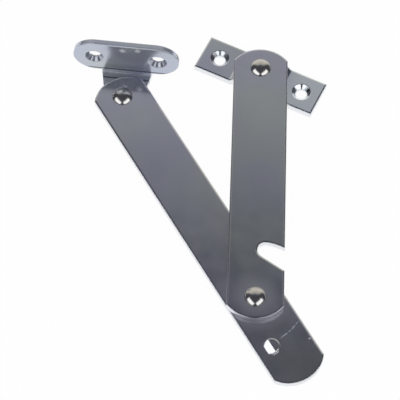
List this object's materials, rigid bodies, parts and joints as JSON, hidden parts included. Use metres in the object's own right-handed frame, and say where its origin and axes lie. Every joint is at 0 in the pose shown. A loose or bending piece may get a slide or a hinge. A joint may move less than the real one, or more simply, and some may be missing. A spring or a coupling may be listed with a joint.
{
  "type": "lid stay",
  "caption": "Folding lid stay: flat riveted steel arms with a notch-and-nib catch, a cranked wall plate and an angle bracket for the lid.",
  "frame": {"origin": "middle of the wall plate's screw holes, on the face that lies against the cabinet side", "axes": "+X along the wall plate, +Y across it, away from the arms' pivot, +Z out of the cabinet side"},
  "size_m": [0.1344, 0.12, 0.0203],
  "materials": {
    "zinc_plated_sheet": "bright zinc-plated, lightly scratched",
    "zinc_plated_rivet": "bright zinc-plated, smooth"
  },
  "bodies": {
    "plate": {"wall_plate": "zinc_plated_sheet", "plate_rivet": "zinc_plated_rivet"},
    "front": {"front_arm": "zinc_plated_sheet", "pivot_rivet": "zinc_plated_rivet"},
    "rear": {"rear_arm": "zinc_plated_sheet", "bracket_rivet": "zinc_plated_rivet"},
    "bracket": {"angle_bracket": "zinc_plated_sheet"}
  },
  "joints": [
    {"name": "plate_pivot", "type": "hinge", "parent": "plate", "child": "front", "pos_m": [0, 0, 0.00515], "axis": [0, 0, 1], "continuous": true},
    {"name": "arm_fold", "type": "hinge", "parent": "front", "child": "rear", "pos_m": [0.03909, -0.08658, 0.0051], "axis": [0, 0, 1], "range_deg": [-9, 151.3]},
    {"name": "bracket_pivot", "type": "hinge", "parent": "rear", "child": "bracket", "pos_m": [-0.04125, -0.03259, 0.0026], "axis": [0, 0, 1], "range_deg": [-59.5, 132]}
  ]
}
